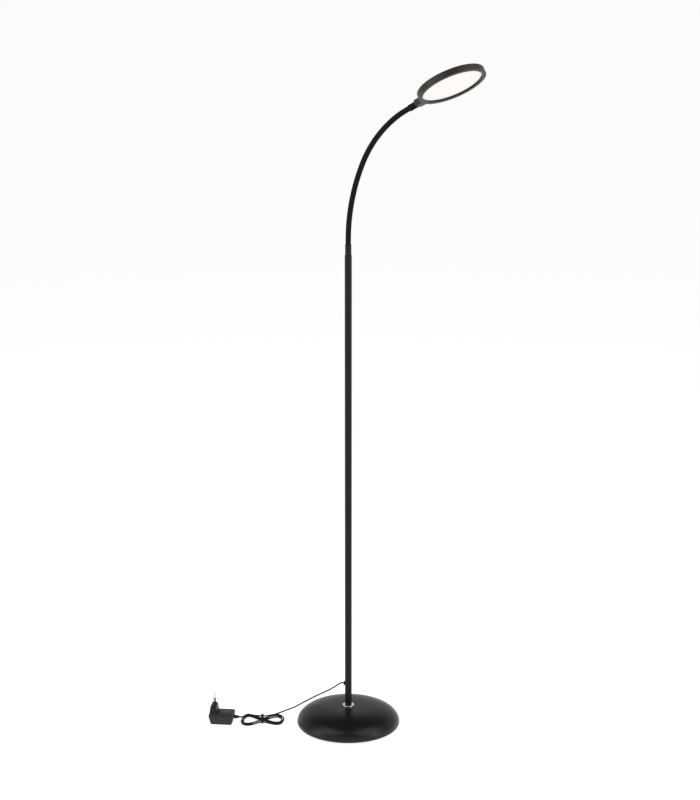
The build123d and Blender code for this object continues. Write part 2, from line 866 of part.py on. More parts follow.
def neck_nodes(links):
    nodes = {"neck_lower_ferrule": lower_ferrule(), "neck_root": neck_root(links[0][0])}
    for number, (start, end, radius, step) in enumerate(links, 1):
        has_ball = number < len(links)
        nodes[f"neck_link_{number:02d}"] = neck_link(start, end, radius, step, has_ball)
    nodes["neck_upper_ferrule"] = upper_ferrule(links[-1][1])
    return nodes


def head_nodes(place):
    nodes = {
        "head_housing": head_housing(),
        "head_bezel": head_bezel(),
        "diffuser": rod(stack_radius, diffuser_level, guide_level),
        "light_guide": light_guide(),
        "reflector_sheet": rod(stack_radius, reflector_level, foam_level),
        "led_strip": tube(stack_radius, stack_radius - strip_thickness, guide_level, reflector_level),
        "led_chips": led_chips(),
        "backing_foam": backing_foam(),
        "control_board": control_board(),
        "head_lead": head_lead(),
        "neck_grub_screw": neck_grub_screw(),
    }
    return {name: place * solid for name, solid in nodes.items()}


def cord_nodes():
    loops = [placed(hank_place(), p) for p in hank_loops()]
    free, free_route = cord_tube("cord_free", cord_free_points(loops[0], loops[1]), cord_diameter)
    hank, hank_route = cord_tube("cord_hank", loops, cord_diameter)
    tail, tail_route = cord_tube("cord_tail", cord_tail_points(loops[-1], loops[-2]), cord_diameter)
    gap = self_gap([free_route, hank_route, tail_route], cord_diameter)
    print(f"cord: least gap to itself {gap:.2f}, wanted over {least_gap}")
    return {"cord_free": free, "cord_hank": hank, "cord_tail": tail, "cord_tie": cord_tie()}


def adapter_nodes():
    nodes = {
        "adapter_lower_case": adapter_lower_case(),
        "adapter_upper_case": adapter_upper_case(),
        "adapter_strain_relief": adapter_strain_relief(),
        "adapter_board": adapter_board(),
        "adapter_transformer": adapter_transformer(),
        "plug_pins": plug_pins(),
        "pin_sleeves": pin_sleeves(),
    }
    return {name: adapter_place() * solid for name, solid in nodes.items()}


def main():
    os.makedirs("parts", exist_ok=True)
    links = neck_links()
    nodes = stand_nodes()
    nodes.update(neck_nodes(links))
    nodes.update(head_nodes(head_plane(links[-1][1])))
    nodes.update(cord_nodes())
    nodes.update(adapter_nodes())
    for name, solid in nodes.items():
        export_step(solid, f"parts/{name}.step")


main()
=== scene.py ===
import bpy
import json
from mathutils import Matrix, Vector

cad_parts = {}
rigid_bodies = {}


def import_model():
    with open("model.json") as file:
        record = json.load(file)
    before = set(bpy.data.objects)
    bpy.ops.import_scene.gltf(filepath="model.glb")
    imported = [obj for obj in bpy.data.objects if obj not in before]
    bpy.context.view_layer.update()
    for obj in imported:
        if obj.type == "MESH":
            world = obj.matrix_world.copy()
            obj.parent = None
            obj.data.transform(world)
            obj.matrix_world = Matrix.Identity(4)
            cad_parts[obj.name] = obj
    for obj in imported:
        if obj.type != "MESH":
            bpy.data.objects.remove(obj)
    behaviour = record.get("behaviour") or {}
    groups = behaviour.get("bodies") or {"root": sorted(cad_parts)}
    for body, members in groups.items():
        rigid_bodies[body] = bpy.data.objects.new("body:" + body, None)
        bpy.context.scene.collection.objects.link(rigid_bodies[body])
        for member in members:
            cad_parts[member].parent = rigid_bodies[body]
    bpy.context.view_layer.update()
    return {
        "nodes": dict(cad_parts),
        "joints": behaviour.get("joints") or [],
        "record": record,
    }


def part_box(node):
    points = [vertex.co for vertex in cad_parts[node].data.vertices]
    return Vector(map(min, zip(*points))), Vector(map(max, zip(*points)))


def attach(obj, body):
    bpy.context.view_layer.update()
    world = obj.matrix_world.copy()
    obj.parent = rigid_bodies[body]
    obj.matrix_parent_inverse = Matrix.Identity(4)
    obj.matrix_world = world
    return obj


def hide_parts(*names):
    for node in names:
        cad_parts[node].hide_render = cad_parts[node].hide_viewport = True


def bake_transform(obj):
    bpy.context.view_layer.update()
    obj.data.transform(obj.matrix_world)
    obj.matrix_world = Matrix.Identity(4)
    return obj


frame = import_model()

import json
from math import asin, cos, pi, radians, sin, sqrt, tan

import bpy
import numpy as np
from mathutils import Matrix, Vector

# Task floor lamp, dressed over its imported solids. Metres, +Z up, in the row's own frame.

MM = 0.001
WORLD = Matrix.Identity(4)
ROUND_SIDES = 128       # sides of the wide turned pieces
SLIM_SIDES = 64         # sides of the slim ones
CORNER_STEPS = 6        # steps round a rounded corner of an outline
PLAN_STEPS = 8          # steps round a corner of a block's plan
DOME_STEPS = 40         # rings on the base's dome
BALL_STEPS = 8          # rings on a ball end of the neck's sleeve
BOWL_STEPS = 16         # rings on the touch dimple
BULGE_STEPS = 12        # rings on a bulge of the strain relief
CORD_BEVEL = 5          # fineness of the cord round its section
CORD_STEPS = 6          # fineness of the cord between two points of its route
SHARP_ANGLE = radians(30)
ON_AXIS = 1e-7          # radius below which a turned outline's point is on its axis

# Base
base_wall = 1.2 * MM
base_roll = 5.5 * MM
dome_flatness = 3.36
dome_shoulder = 1.95
dome_seat = 16.0 * MM

# Pole, ferrules, grommet and neck
seam_round = 0.4 * MM
ferrule_round = 0.5 * MM
ferrule_wide = 0.9       # share of the upper ferrule's radius that its slim spigot doesn't reach
collar_round = 0.7 * MM
grommet_round = 0.9 * MM
grommet_bore_round = 0.2 * MM
grommet_root = 5.5 * MM  # where the grommet starts, inside the pole
ring_spacing = 2.0 * MM  # along the neck's sleeve
ball_gap = 0.75 * MM     # room at a ball for the next length of sleeve to bend

# Head
head_edge = 2.2 * MM
head_top_wall = 1.6 * MM
head_foot_round = 0.35 * MM
lug_face = 77.0 * MM     # distance of the lug's flat end from the head's middle
lug_width = 22.0 * MM
lug_corner = 3.0 * MM
lug_least_corner = 0.2   # share of its corner that the lug's drawn-in rims keep
lug_drop = 0.5 * MM      # how much thinner the lug is than the head
lug_edge = 2.2 * MM
lug_root = 0.5 * MM      # where the lug starts, inside the housing's wall
touch_offset = 41.0 * MM
touch_radius = 7.0 * MM
touch_depth = 0.5 * MM
touch_spread = 1.3       # reach of the tool that cuts the dimple, in dimple radii
touch_tool_rise = 2.0 * MM
bezel_lip_round = 0.6 * MM
bezel_edge_round = 0.25 * MM
bezel_gap = 0.05 * MM    # between the bezel and the housing
bezel_wall = 1.7 * MM    # of the bezel's ring round the diffuser
diffuser_round = 0.2 * MM

# Supply cord, its hank and the way it lies, as in the part's source. The end of free_route and
# entry_route are moved, to come in over the hank's far side as in the photo.
cord_diameter = 2.8 * MM
hank_spot = Vector((-0.1602, -0.0615, 0))
hank_turn = radians(24.3)
hank_half_length = 38.5 * MM
hank_near_lobe = 15.0 * MM
hank_far_lobe = 18.0 * MM
hank_waist = 1.7 * MM
lobe_roundness = 0.2
lobe_peak = 2 / sqrt(27)  # greatest value of sin(angle) * cos(angle) ** 2
slope_step = 0.001       # step in angle over which a loop's direction is taken
hank_lean = radians(10)
loop_pitch = 3.9 * MM
layer_pitch = 3.6 * MM
points_per_turn = 20
hank_turns = 3.15
hank_entry = radians(36)
climb_turns = 0.25
exit_climb_turns = 0.12
exit_climb_share = 0.7
tie_lift = 1.1 * MM
approach_run = 6.0 * MM
tail_end_run = 8.0 * MM
free_route = [(-0.00895, 0, 0.0860), (-0.0132, 0, 0.0860), (-0.0176, 0, 0.0842), (-0.0235, -0.0001, 0.0796),
              (-0.0320, -0.0002, 0.0724), (-0.0480, -0.0010, 0.0619), (-0.0680, -0.0028, 0.0502),
              (-0.0880, -0.0070, 0.0378), (-0.1030, -0.0118, 0.0280), (-0.1145, -0.0152, 0.0205)]
entry_route = [(0.0490, 0.0275, 0.0150), (0.0410, 0.0275, 0.0112), (0.0310, 0.0245, 0.0088),
               (0.0215, 0.0195, 0.0068)]  # in the hank's frame
tail_route = [(-0.0170, 0.0022, 0.0136), (-0.0275, -0.0015, 0.0138)]

# Plug-in supply, in its own frame
adapter_spot = Vector((-0.2340, -0.0940, 0))
adapter_turn = radians(18.3)
adapter_round = 3.0 * MM
adapter_edge = 1.0 * MM
block_least_corner = 0.3  # share of its corner that a block's drawn-in rims keep
parting_groove = 0.25 * MM
bottom_size = (42.0 * MM, 29.0 * MM)
parting_size = (50.0 * MM, 34.0 * MM)
top_size = (47.0 * MM, 31.5 * MM)
plug_base_size = (16.5 * MM, 30.5 * MM)
plug_top_size = (11.5 * MM, 29.0 * MM)
plug_round = 4.0 * MM
plug_edge = 1.2 * MM
plug_foot_edge = 0.1 * MM
plug_sunk = 0.4 * MM     # how far the plug's body reaches into the lid
plate_size = (20.0 * MM, 14.0 * MM)
plate_offset = 8.5 * MM
plate_height = 0.15 * MM
plate_round = 1.0 * MM
plate_edges = (0.05 * MM, 0.1 * MM)
lid_height = 4.5 * MM
relief_height = 12.5 * MM
relief_length = 11.0 * MM
relief_neck = 2.7 * MM
relief_collar = (4.4 * MM, 1.3 * MM, 1.3 * MM)  # radius, thickness and distance from the wall
relief_collar_round = 0.3 * MM
relief_bulges = (3.8 * MM, 2.8 * MM)
relief_waist = 2.5 * MM
relief_tip = 2.0 * MM
cord_in_relief = 10.3 * MM

# Finishes
noise_range = (0.3, 0.7)  # where most of a noise's values lie
fine_detail = 3.0
slow_detail = 2.0
cloud_detail = 1.0
drift_size = 40          # size of the slow drift in colour, in grains
grain_strength = 0.5
turned_lines = (1, 1, 8)  # stretch of the grain on a turned metal piece
opal_cloud = 50.0 * MM
opal_grain = 0.6 * MM
opal_glow = ((1.0, 0.955, 0.925), (1.0, 0.965, 0.945))
opal_sheet = ((0.34, 0.325, 0.315), (0.37, 0.355, 0.345))
opal_rough = (0.45, 0.6)
opal_strength = 0.76
opal_specular = 0.08
board_tracks = 220       # scale of the pattern of tracks
track_width = 0.08
board_greens = ((0.020, 0.120, 0.045, 1), (0.022, 0.140, 0.050, 1))
track_green = (0.060, 0.240, 0.090, 1)
board_grain = 1.0 * MM
board_rough = (0.30, 0.42)
foam_rough = (0.8, 0.95)
foam_strength = 0.6
foam_depth = 0.25        # in cells

# Grained finishes: dark and light colour, range of roughness, size and depth of the grain in millimetres,
# specular level, and where they matter how metallic it is and how the grain is drawn out
grained_finishes = {
    "base_black": ((0.0050, 0.0048, 0.0046), (0.0064, 0.0062, 0.0060), (0.29, 0.37), 0.7, 0.02, 0.26),
    "pole_black": ((0.0135, 0.0132, 0.0134), (0.0165, 0.0162, 0.0163), (0.34, 0.44), 0.6, 0.015, 0.14),
    "neck_sleeve": ((0.0075, 0.0075, 0.0075), (0.0090, 0.0090, 0.0090), (0.58, 0.70), 0.5, 0.03, 0.08),
    "head_grey": ((0.0210, 0.0204, 0.0197), (0.0250, 0.0243, 0.0235), (0.34, 0.44), 0.5, 0.010, 0.20),
    "collar_chrome": ((0.72, 0.72, 0.73), (0.80, 0.80, 0.81), (0.10, 0.18), 0.4, 0.004, 0.5, 1.0,
                      turned_lines),
    "rubber_black": ((0.0080, 0.0080, 0.0080), (0.0110, 0.0110, 0.0110), (0.55, 0.68), 0.5, 0.03, 0.3),
    "cord_black": ((0.0065, 0.0065, 0.0066), (0.0090, 0.0090, 0.0092), (0.44, 0.58), 0.8, 0.02, 0.16),
    "tie_black": ((0.0080, 0.0080, 0.0082), (0.0120, 0.0120, 0.0120), (0.50, 0.62), 0.6, 0.02, 0.12),
    "adapter_black": ((0.0055, 0.0054, 0.0053), (0.0070, 0.0069, 0.0067), (0.42, 0.56), 0.45, 0.03, 0.45),
    "plug_black": ((0.0055, 0.0054, 0.0053), (0.0072, 0.0071, 0.0070), (0.40, 0.52), 0.45, 0.02, 0.25),
    "plate_black": ((0.0230, 0.0215, 0.0205), (0.0270, 0.0252, 0.0240), (0.34, 0.44), 0.6, 0.006, 0.4),
    "pin_nickel": ((0.66, 0.63, 0.58), (0.74, 0.71, 0.66), (0.16, 0.26), 0.4, 0.004, 0.5, 1.0,
                   turned_lines),
    "plated_steel": ((0.55, 0.55, 0.54), (0.66, 0.66, 0.64), (0.28, 0.42), 0.5, 0.008, 0.5, 1.0),
    "weight_iron": ((0.055, 0.054, 0.053), (0.090, 0.088, 0.085), (0.62, 0.80), 1.6, 0.15, 0.3, 0.6),
    "clear_guide": ((0.86, 0.88, 0.89), (0.91, 0.92, 0.93), (0.08, 0.16), 0.8, 0.004, 0.5),
    "white_sheet": ((0.86, 0.86, 0.86), (0.92, 0.92, 0.92), (0.34, 0.46), 0.8, 0.006, 0.5),
    "led_yellow": ((0.78, 0.62, 0.22), (0.88, 0.74, 0.32), (0.30, 0.42), 0.4, 0.01, 0.5),
    "tape_yellow": ((0.52, 0.40, 0.06), (0.62, 0.49, 0.10), (0.32, 0.48), 0.8, 0.02, 0.5),
}

# Foams: dark colour, painted as shade deep in the cells' hollows, light colour on their walls, and size of
# a cell in millimetres
foam_finishes = {
    "pad_black": ((0.006, 0.006, 0.006), (0.016, 0.016, 0.016), 0.9),
    "foam_grey": ((0.030, 0.030, 0.030), (0.085, 0.085, 0.085), 1.2),
}

# Stage
floor_width = 160.0
floor_corner = 1.0
floor_bottom = -0.02
floor_top = -0.0003      # just under the lamp, so that they don't share a plane
floor_colour = 0.62
floor_roughness = 0.9
floor_glow = 0.80        # what the eye sees of the floor's own white
room_light = 0.27
studio_walls = [(0.0, (0.965, 0.965, 0.965)), (0.08, (1.0, 1.0, 1.0)), (0.20, (0.665, 0.64, 0.60)),
                (0.52, (0.73, 0.70, 0.655)), (0.64, (0.10, 0.10, 0.10))]  # colour by height
side_box = (0.8, 1.5, 3.5, (1.0, 1.0, 1.0))     # width, height, radiance and colour
top_box = (1.8, 1.4, 2.0, (1.0, 0.965, 0.905))
softboxes = {  # place, point that it faces, and kind
    "left_box": ((-2.1, -1.9, 0.85), (0, 0, 0.45), side_box),
    "right_box": ((2.6, -0.2, 0.85), (0, 0, 0.45), side_box),
    "left_top_box": ((-0.83, -1.15, 1.80), (0, 0, 0), top_box),
    "right_top_box": ((1.41, -0.14, 1.80), (0, 0, 0), top_box),
}

# Camera, fitted to the photo
camera_place = (1.4494, -3.2021, 1.5193)
camera_turn = (radians(76.315), 0, radians(24.3))
camera_lens = 85.37
camera_reach = 100


# Mesh helpers

def add_piece(name, verts, faces):
    """New smooth mesh object"""
    mesh = bpy.data.meshes.new(name)
    mesh.from_pydata([tuple(v) for v in verts], [], faces)
    mesh.validate()
    piece = bpy.data.objects.new(name, mesh)
    bpy.context.scene.collection.objects.link(piece)
    return smooth(piece)


def smooth(piece):
    """Smooth faces, with edges sharp past an angle"""
    piece.data.shade_smooth()
    piece.data.set_sharp_from_angle(angle=SHARP_ANGLE)
    return piece


def rounded(corners):
    """Closed outline from (radius, level, rounding) corners, with an arc at each rounded one"""
    outline = []
    for i, (r, z, rounding) in enumerate(corners):
        here = Vector((r, z))
        if rounding <= 0:
            outline.append((r, z))
            continue
        before = (Vector(corners[i - 1][:2]) - here).normalized()
        after = (Vector(corners[(i + 1) % len(corners)][:2]) - here).normalized()
        half = before.angle(after) / 2
        centre = here + (before + after).normalized() * rounding / sin(half)
        first = here + before * rounding / tan(half) - centre
        last = here + after * rounding / tan(half) - centre
        for step in range(CORNER_STEPS + 1):
            share = step / CORNER_STEPS
            arm = (first * (1 - share) + last * share).normalized() * rounding
            outline.append((centre.x + arm.x, centre.y + arm.y))
    return outline


def turned(name, outline, place=WORLD, sides=SLIM_SIDES):
    """Solid turned about its own Z axis from a closed (radius, level) outline, then put in place"""
    verts, faces, rings = [], [], []
    for r, z in outline:
        first = len(verts)
        count = 1 if r < ON_AXIS else sides
        rings.append([first + k % count for k in range(sides)])
        for k in range(count):
            angle = 2 * pi * k / sides
            verts.append(place @ Vector((r * cos(angle), r * sin(angle), z)))
    for ring, after in zip(rings, rings[1:] + rings[:1]):
        for k in range(sides):
            near = (k + 1) % sides
            face = list(dict.fromkeys([ring[k], ring[near], after[near], after[k]]))
            if len(face) > 2:
                faces.append(face)
    return add_piece(name, verts, faces)


def rectangle_ring(size, corner, level):
    """Points of a rectangle with rounded corners, at a level"""
    points = []
    for quarter in range(4):
        sign_x = 1 if quarter in (0, 3) else -1
        sign_y = 1 if quarter in (0, 1) else -1
        middle = (sign_x * (size[0] / 2 - corner), sign_y * (size[1] / 2 - corner))
        for step in range(PLAN_STEPS + 1):
            angle = pi / 2 * (quarter + step / PLAN_STEPS)
            points.append(Vector((middle[0] + corner * cos(angle), middle[1] + corner * sin(angle), level)))
    return points


def skinned(name, rings, place=WORLD):
    """Closed solid through a row of rings with equal counts of points"""
    count = len(rings[0])
    verts = [place @ p for ring in rings for p in ring]
    faces = [list(range(count))[::-1], list(range(len(verts) - count, len(verts)))]
    for row in range(len(rings) - 1):
        for k in range(count):
            near = (k + 1) % count
            low, high = row * count, (row + 1) * count
            faces.append([low + k, low + near, high + near, high + k])
    return add_piece(name, verts, faces)


def rounded_block(name, low_size, high_size, low, high, corner, edges, place):
    """Tapered block with rounded upright edges, and roundings of its lower and upper rims"""
    rings = []
    for level, edge, inward in ((low, edges[0], 1), (high, edges[1], -1)):
        rims = []
        for step in range(CORNER_STEPS + 1):
            angle = pi / 2 * step / CORNER_STEPS
            inset = edge * (1 - sin(angle))
            z = level + inward * edge * (1 - cos(angle))
            share = (z - low) / (high - low)
            size = [a + (b - a) * share - 2 * inset for a, b in zip(low_size, high_size)]
            rims.append(rectangle_ring(size, max(corner - inset, block_least_corner * corner), z))
        rings += rims if inward > 0 else rims[::-1]
    return skinned(name, rings, place)


def cut(piece, tool, operation):
    """Joins a tool to a piece, or cuts it away, and removes the tool"""
    change = piece.modifiers.new("cut", "BOOLEAN")
    change.operation = operation
    change.solver = "EXACT"
    change.object = tool
    shaped = piece.evaluated_get(bpy.context.evaluated_depsgraph_get())
    mesh = bpy.data.meshes.new_from_object(shaped)
    piece.modifiers.clear()
    piece.data = mesh
    bpy.data.objects.remove(tool)
    return smooth(piece)


# Places and sizes read from the frame

def node_points(node, place=WORLD):
    """A solid's points in a given frame"""
    back = place.inverted()
    return np.array([back @ v.co for v in frame["nodes"][node].data.vertices])


def span(node, place=WORLD):
    """Least and greatest radius about a frame's Z axis, and lowest and highest level, of a solid"""
    points = node_points(node, place)
    radii = np.hypot(points[:, 0], points[:, 1])
    return radii.min(), radii.max(), points[:, 2].min(), points[:, 2].max()


def axis_frame(middle, axis, along):
    """Frame with Z on an axis and X as near as it can be to a direction"""
    axis = axis.normalized()
    side = (along - axis * axis.dot(along)).normalized()
    turn = Matrix((side, axis.cross(side), axis)).transposed()
    return Matrix.Translation(middle) @ turn.to_4x4()


def box_middle(node):
    """Middle of a solid's box"""
    low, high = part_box(node)
    return (low + high) / 2


def head_frame():
    """Frame on the diffuser's middle, Z out of the closed side and X away from the neck"""
    points = node_points("diffuser")
    _, _, axes = np.linalg.svd(points - points.mean(0), full_matrices=False)
    up = Vector(axes[2])
    if up.z < 0:
        up = -up
    middle = box_middle("diffuser")
    return axis_frame(middle, up, middle - box_middle("neck_upper_ferrule"))


def ferrule_frame(head):
    """Frame on the upper ferrule's middle, with Z along the neck's end"""
    middle = box_middle("neck_upper_ferrule")
    return axis_frame(middle, head.col[0].to_3d(), Vector((0, 1, 0)))


adapter_frame = Matrix.Translation(adapter_spot) @ Matrix.Rotation(adapter_turn, 4, "Z")
hank_frame = Matrix.Translation(hank_spot) @ Matrix.Rotation(hank_turn, 4, "Z")


# Materials

def new_material(name):
    """New material, with its nodes and links"""
    material = bpy.data.materials.new(name)
    material.use_nodes = True
    return material, material.node_tree.nodes, material.node_tree.links


def noise(nodes, links, size, detail=slow_detail, stretch=(1, 1, 1)):
    """Noise of a feature size in metres, by the object's own place, drawn out along an axis if asked"""
    coordinates = nodes.new("ShaderNodeTexCoord")
    mapping = nodes.new("ShaderNodeMapping")
    mapping.inputs["Scale"].default_value = stretch
    texture = nodes.new("ShaderNodeTexNoise")
    texture.inputs["Scale"].default_value = 1 / size
    texture.inputs["Detail"].default_value = detail
    links.new(coordinates.outputs["Object"], mapping.inputs["Vector"])
    links.new(mapping.outputs["Vector"], texture.inputs["Vector"])
    return texture.outputs["Fac"]


def ranged(nodes, links, value, low, high):
    """A value between two limits, from a noise's middle range"""
    change = nodes.new("ShaderNodeMapRange")
    change.inputs["From Min"].default_value = noise_range[0]
    change.inputs["From Max"].default_value = noise_range[1]
    change.inputs["To Min"].default_value = low
    change.inputs["To Max"].default_value = high
    links.new(value, change.inputs["Value"])
    return change.outputs["Result"]


def blended(nodes, links, factor, first, second):
    """A colour between two, by a factor"""
    mix = nodes.new("ShaderNodeMix")
    mix.data_type = "RGBA"
    mix.inputs["A"].default_value = (*first, 1)
    mix.inputs["B"].default_value = (*second, 1)
    links.new(factor, mix.inputs["Factor"])
    return mix.outputs["Result"]


def relief(nodes, links, height, depth, strength):
    """Bump of a depth in metres, from a height between 0 and 1"""
    bump = nodes.new("ShaderNodeBump")
    bump.inputs["Distance"].default_value = depth
    bump.inputs["Strength"].default_value = strength
    links.new(height, bump.inputs["Height"])
    return bump.outputs["Normal"]


def grained(name, dark, light, rough, grain, depth, specular, metallic=0.0, stretch=(1, 1, 1)):
    """Surface with a fine grain in its relief and gloss, and a slow drift of its colour"""
    material, nodes, links = new_material(name)
    shader = nodes["Principled BSDF"]
    grain, depth = grain * MM, depth * MM
    fine = noise(nodes, links, grain, fine_detail, stretch)
    slow = noise(nodes, links, drift_size * grain)
    colour = blended(nodes, links, ranged(nodes, links, slow, 0, 1), dark, light)
    links.new(colour, shader.inputs["Base Color"])
    links.new(ranged(nodes, links, fine, *rough), shader.inputs["Roughness"])
    links.new(relief(nodes, links, fine, depth, grain_strength), shader.inputs["Normal"])
    shader.inputs["Metallic"].default_value = metallic
    shader.inputs["Specular IOR Level"].default_value = specular
    return material


def opal():
    """Lit opal sheet: even warm white, a touch dimmer in slow clouds"""
    material, nodes, links = new_material("opal")
    shader = nodes["Principled BSDF"]
    cloud = noise(nodes, links, opal_cloud, cloud_detail)
    fine = noise(nodes, links, opal_grain)
    glow = blended(nodes, links, ranged(nodes, links, cloud, 0, 1), *opal_glow)
    links.new(glow, shader.inputs["Emission Color"])
    sheet = blended(nodes, links, ranged(nodes, links, fine, 0, 1), *opal_sheet)
    links.new(sheet, shader.inputs["Base Color"])
    links.new(ranged(nodes, links, fine, *opal_rough), shader.inputs["Roughness"])
    shader.inputs["Emission Strength"].default_value = opal_strength
    shader.inputs["Specular IOR Level"].default_value = opal_specular
    return material


def circuit_board():
    """Green board with paler copper tracks under its mask"""
    material, nodes, links = new_material("circuit_board")
    shader = nodes["Principled BSDF"]
    coordinates = nodes.new("ShaderNodeTexCoord")
    tracks = nodes.new("ShaderNodeTexBrick")
    tracks.inputs["Scale"].default_value = board_tracks
    tracks.inputs["Mortar Size"].default_value = track_width
    tracks.inputs["Color1"].default_value = board_greens[0]
    tracks.inputs["Color2"].default_value = board_greens[1]
    tracks.inputs["Mortar"].default_value = track_green
    links.new(coordinates.outputs["Object"], tracks.inputs["Vector"])
    links.new(tracks.outputs["Color"], shader.inputs["Base Color"])
    fine = noise(nodes, links, board_grain)
    links.new(ranged(nodes, links, fine, *board_rough), shader.inputs["Roughness"])
    return material


def foam(name, dark, light, cell):
    """Open cells over a soft ground, their colour darkened into each cell's hollow as painted shade"""
    material, nodes, links = new_material(name)
    shader = nodes["Principled BSDF"]
    cell = cell * MM
    coordinates = nodes.new("ShaderNodeTexCoord")
    cells = nodes.new("ShaderNodeTexVoronoi")
    cells.inputs["Scale"].default_value = 1 / cell
    links.new(coordinates.outputs["Object"], cells.inputs["Vector"])
    height = cells.outputs["Distance"]
    # painted shade: the colour follows the relief's height, darkest in each cell's pit
    links.new(blended(nodes, links, height, dark, light), shader.inputs["Base Color"])
    links.new(relief(nodes, links, height, foam_depth * cell, foam_strength), shader.inputs["Normal"])
    links.new(ranged(nodes, links, height, *foam_rough), shader.inputs["Roughness"])
    return material


def make_materials():
    """Every finish by its slot's name"""
    made = {name: grained(name, *values) for name, values in grained_finishes.items()}
    made.update({name: foam(name, *values) for name, values in foam_finishes.items()})
    made["board_green"] = circuit_board()
    made["opal"] = opal()
    return made


def dress(piece, slot, body, *nodes):
    """Gives a piece its finish and its body, and hides the solids that it stands for"""
    piece.data.materials.clear()
    piece.data.materials.append(materials[slot])
    if body:
        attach(piece, body)
    if nodes:
        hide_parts(*nodes)
    return piece


# Base and pole

def dome_outline(radius, top, roll_level):
    """Superellipse from the dome's flat seat to its widest edge"""
    first = asin((dome_seat / radius) ** (dome_flatness / 2))
    outline = [(dome_seat, top)]
    for step in range(1, DOME_STEPS + 1):
        angle = first + (pi / 2 - first) * step / DOME_STEPS
        r = radius * sin(angle) ** (2 / dome_flatness)
        z = roll_level + (top - roll_level) * max(cos(angle), 0) ** (2 / dome_shoulder)
        outline.append((r, z))
    return outline


def roll_arc(radius, roll, level):
    """Quarter round from the widest edge to the rim that is rolled under"""
    steps = 2 * CORNER_STEPS
    return [(radius - roll + roll * cos(pi / 2 * s / steps), level - roll * sin(pi / 2 * s / steps))
            for s in range(1, steps + 1)]


def make_base():
    """Thin dome with its rim rolled under, and the bright ring at its hole"""
    hole, radius, foot, top = span("base_shell")
    level = foot + base_roll
    outer = [(hole, top)] + dome_outline(radius, top, level) + roll_arc(radius, base_roll, level)
    inner_radius = radius - base_wall
    inner = [(hole, top - base_wall)] + dome_outline(inner_radius, top - base_wall, level)
    inner += roll_arc(inner_radius, base_roll - base_wall, level)
    dome = turned("base_dome", outer + inner[::-1], sides=2 * ROUND_SIDES)
    dress(dome, "base_black", "stand", "base_shell")
    hole, radius, low, high = span("foot_collar")
    ring = [(hole, low, 0), (radius, low, 0), (radius, high, collar_round), (hole, high, 0)]
    dress(turned("foot_ring", rounded(ring)), "collar_chrome", "stand", "foot_collar")


def make_pole():
    """Pole's three tubes, the neck's lower ferrule and the cord's outlet"""
    for name in ("lower", "middle", "upper"):
        bore, radius, low, high = span(f"pole_{name}")
        section = [(bore, low, 0), (radius, low, seam_round), (radius, high, seam_round), (bore, high, 0)]
        dress(turned(f"pole_tube_{name}", rounded(section)), "pole_black", "stand", f"pole_{name}")
    bore, radius, _, high = span("neck_lower_ferrule")
    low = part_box("pole_upper")[1].z
    collar = [(bore, low, 0), (radius, low, ferrule_round), (radius, high, ferrule_round), (bore, high, 0)]
    dress(turned("neck_foot_ferrule", rounded(collar)), "pole_black", "stand", "neck_lower_ferrule")
    low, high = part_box("cord_grommet")
    outlet = axis_frame(Vector((0, 0, (low.z + high.z) / 2)), Vector((-1, 0, 0)), Vector((0, 0, 1)))
    bore, radius, face = cord_diameter / 2, (high.z - low.z) / 2, -low.x
    flange = [(bore, grommet_root, 0), (radius, grommet_root, 0), (radius, face, grommet_round),
              (bore, face, grommet_bore_round)]
    dress(turned("cord_outlet", rounded(flange), outlet), "rubber_black", "stand", "cord_grommet")


# Flexible neck

def neck_line():
    """Even points along the neck with the joints' places among them, and the joints' indices"""
    joints = [Vector(j["pos_m"]) for j in frame["joints"]]
    foot = Vector((0, 0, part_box("neck_root")[0].z))
    place = ferrule_frame(head)
    end = place @ Vector((0, 0, span("neck_upper_ferrule", place)[2]))
    stops = [foot] + joints + [end]
    ahead = [stops[1] - stops[0]]
    for a, b, c in zip(stops, stops[1:], stops[2:]):
        ahead.append((b - a).normalized() / 2 + (c - b).normalized() / 2)
    ahead.append(head.col[0].to_3d())
    points, marks = [], []
    for a, b, out, into in zip(stops, stops[1:], ahead, ahead[1:]):
        length = (b - a).length
        count = max(2, 2 * round(length / ring_spacing / 2))
        marks.append(len(points))
        for step in range(count):
            leave, reach = out.normalized() * length, into.normalized() * length
            points.append(hermite(a, b, leave, reach, step / count))
    marks.append(len(points))
    return points + [end], marks


def hermite(a, b, out, into, t):
    """Point on a cubic that leaves a and reaches b in given directions"""
    return (a * (2 * t**3 - 3 * t**2 + 1) + out * (t**3 - 2 * t**2 + t)
            + b * (3 * t**2 - 2 * t**3) + into * (t**3 - t**2))


def sleeve_ring(place, radius, level):
    """Points of a circle about a frame's Z axis, at a level"""
    turns = [2 * pi * k / SLIM_SIDES for k in range(SLIM_SIDES)]
    return [place @ Vector((radius * cos(turn), radius * sin(turn), level)) for turn in turns]


def sleeve(name, line, first, last, radius, start_gap=0.0, ball=False):
    """Closed tube along part of the neck's line, standing off at its start and ending in a ball if asked"""
    places = []
    for i in range(first, last + 1):
        ahead = line[min(i + 1, len(line) - 1)] - line[max(i - 1, 0)]
        places.append(axis_frame(line[i], ahead, Vector((0, 1, 0))))
    rings = [sleeve_ring(places[0], radius, start_gap)]
    rings += [sleeve_ring(place, radius, 0) for place in places[1:]]
    if ball:
        for step in range(1, BALL_STEPS):
            angle = pi / 2 * step / BALL_STEPS
            rings.append(sleeve_ring(places[-1], radius * cos(angle), radius * sin(angle)))
    return skinned(name, rings)


